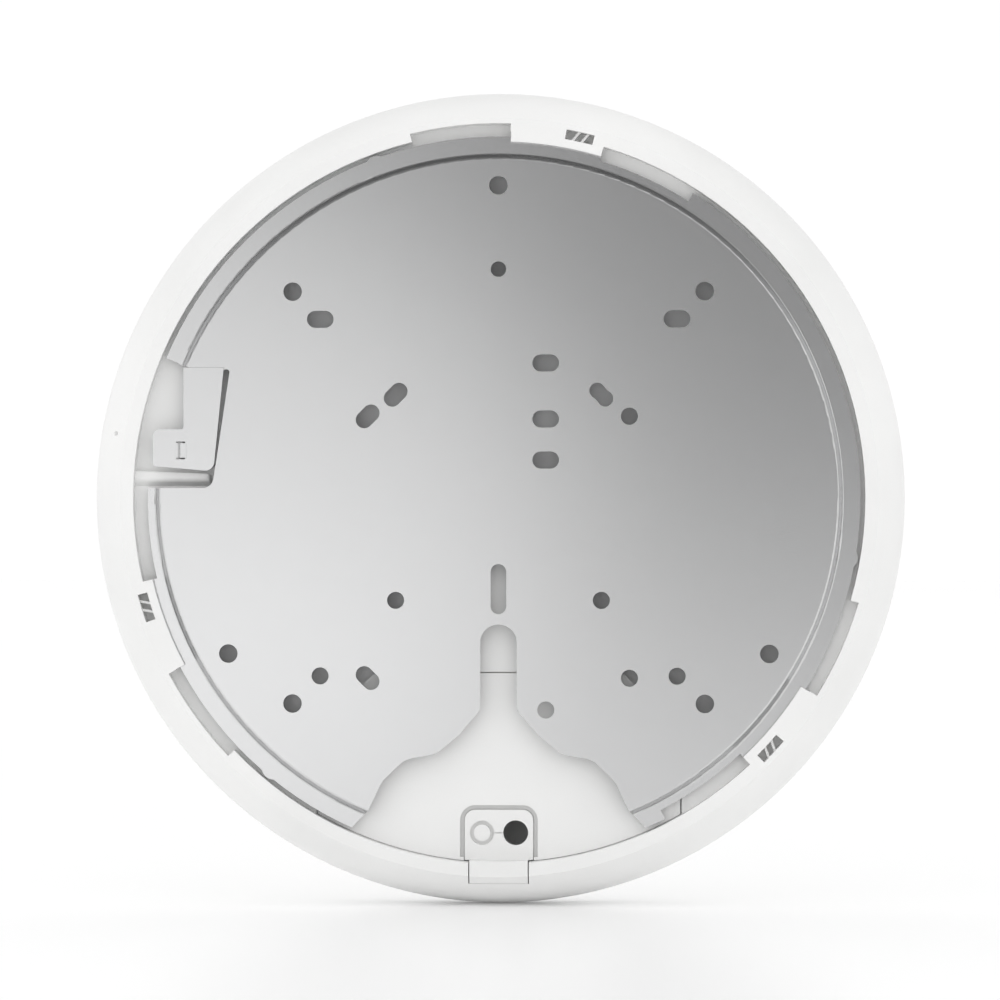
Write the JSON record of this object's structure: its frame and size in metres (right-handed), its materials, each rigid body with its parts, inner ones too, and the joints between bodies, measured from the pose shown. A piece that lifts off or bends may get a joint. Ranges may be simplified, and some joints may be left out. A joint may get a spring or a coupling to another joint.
{
  "type": "ceiling access point",
  "caption": "Round white wireless access point for a ceiling or wall, twisted onto a drilled sheet-metal plate with a spring lock arm.",
  "frame": {"origin": "centre of the mounting plate's back face, the face that lies on the ceiling or wall", "axes": "-Y points into the ceiling or wall, +Y to the domed front with the light ring, +Z to the side away from the cable plug, which is down at -Z, and +X is to the right when facing the back. It stands as in the picture; under a ceiling the whole part is turned -90 degrees about X, so that +Y points down."},
  "size_m": [0.197, 0.035, 0.197],
  "materials": {
    "mounting_plate": "satin zinc-plated sheet",
    "lock_arm": "satin zinc-plated sheet",
    "rear_shell": "fine satin white moulding",
    "jack_cover": "fine satin white moulding",
    "bay_lid": "fine satin white moulding",
    "cable_gland": "satin white moulding",
    "front_cover": "smooth satin white",
    "front_cap": "smooth satin white",
    "led_light_ring": "frosted clear ring",
    "metal_base": "die-cast, as cast",
    "base_seal": "soft foam seal",
    "base_screws": "plated",
    "main_board": "green solder mask",
    "board_screws": "plated",
    "processor_shield": "tinned sheet",
    "low_band_shield": "tinned sheet",
    "high_band_shield": "tinned sheet",
    "thermal_pads": "soft silicone pad",
    "processor_chip": "epoxy package",
    "radio_chips": "epoxy package",
    "memory_chips": "epoxy package",
    "bay_tray": "satin white moulding",
    "ethernet_jack": "black moulding",
    "jack_shell": "tinned sheet",
    "ethernet_contacts": "gold-plated wire",
    "reset_button": "dark moulding",
    "reset_switch": "black moulding",
    "jack_transformer": "epoxy package",
    "power_inductors": "pressed ferrite",
    "capacitors": "aluminium can",
    "led_ribbon": "amber film",
    "led_carrier": "dark moulding",
    "led_board": "white solder mask",
    "led_chips": "clear epoxy over phosphor",
    "led_screws": "plated",
    "antenna_carrier": "dark moulding",
    "low_band_antennas": "tinned brass sheet",
    "high_band_antennas": "tinned brass sheet",
    "low_band_leads": "black jacket",
    "high_band_leads": "grey jacket",
    "lead_plugs": "gold-plated snap plug"
  },
  "bodies": {
    "wall_plate": {"mounting_plate": "mounting_plate"},
    "arm": {"lock_arm": "lock_arm"},
    "access_point": {"rear_shell": "rear_shell", "jack_cover": "jack_cover", "bay_lid": "bay_lid", "front_cover": "front_cover", "front_cap": "front_cap", "led_light_ring": "led_light_ring", "metal_base": "metal_base", "base_seal": "base_seal", "base_screws": "base_screws", "main_board": "main_board", "board_screws": "board_screws", "processor_shield": "processor_shield", "low_band_shield": "low_band_shield", "high_band_shield": "high_band_shield", "thermal_pads": "thermal_pads", "processor_chip": "processor_chip", "radio_chips": "radio_chips", "memory_chips": "memory_chips", "bay_tray": "bay_tray", "ethernet_jack": "ethernet_jack", "jack_shell": "jack_shell", "ethernet_contacts": "ethernet_contacts", "reset_switch": "reset_switch", "jack_transformer": "jack_transformer", "power_inductors": "power_inductors", "capacitors": "capacitors", "led_ribbon": "led_ribbon", "led_carrier": "led_carrier", "led_board": "led_board", "led_chips": "led_chips", "led_screws": "led_screws", "antenna_carrier": "antenna_carrier", "low_band_antennas": "low_band_antennas", "high_band_antennas": "high_band_antennas", "low_band_leads": "low_band_leads", "high_band_leads": "high_band_leads", "lead_plugs": "lead_plugs"},
    "gland": {"cable_gland": "cable_gland"},
    "button": {"reset_button": "reset_button"}
  },
  "joints": [
    {"name": "twist", "type": "hinge", "parent": "wall_plate", "child": "access_point", "pos_m": [0, 0, 0], "axis": [0, 1, 0], "range_deg": [0, 15.3]},
    {"name": "arm_flex", "type": "hinge", "parent": "wall_plate", "child": "arm", "pos_m": [-0.07095, 0, 0.0313], "axis": [1, 0, 0], "range_deg": [-0.8, 1.6], "stiffness_Nm_per_rad": 2},
    {"name": "gland_pull", "type": "slide", "parent": "access_point", "child": "gland", "axis": [0, -1, 0], "range_m": [0, 0.006]},
    {"name": "reset_press", "type": "slide", "parent": "access_point", "child": "button", "axis": [0, 0, 1], "range_m": [0, 0.0004], "stiffness_N_per_m": 1000}
  ]
}
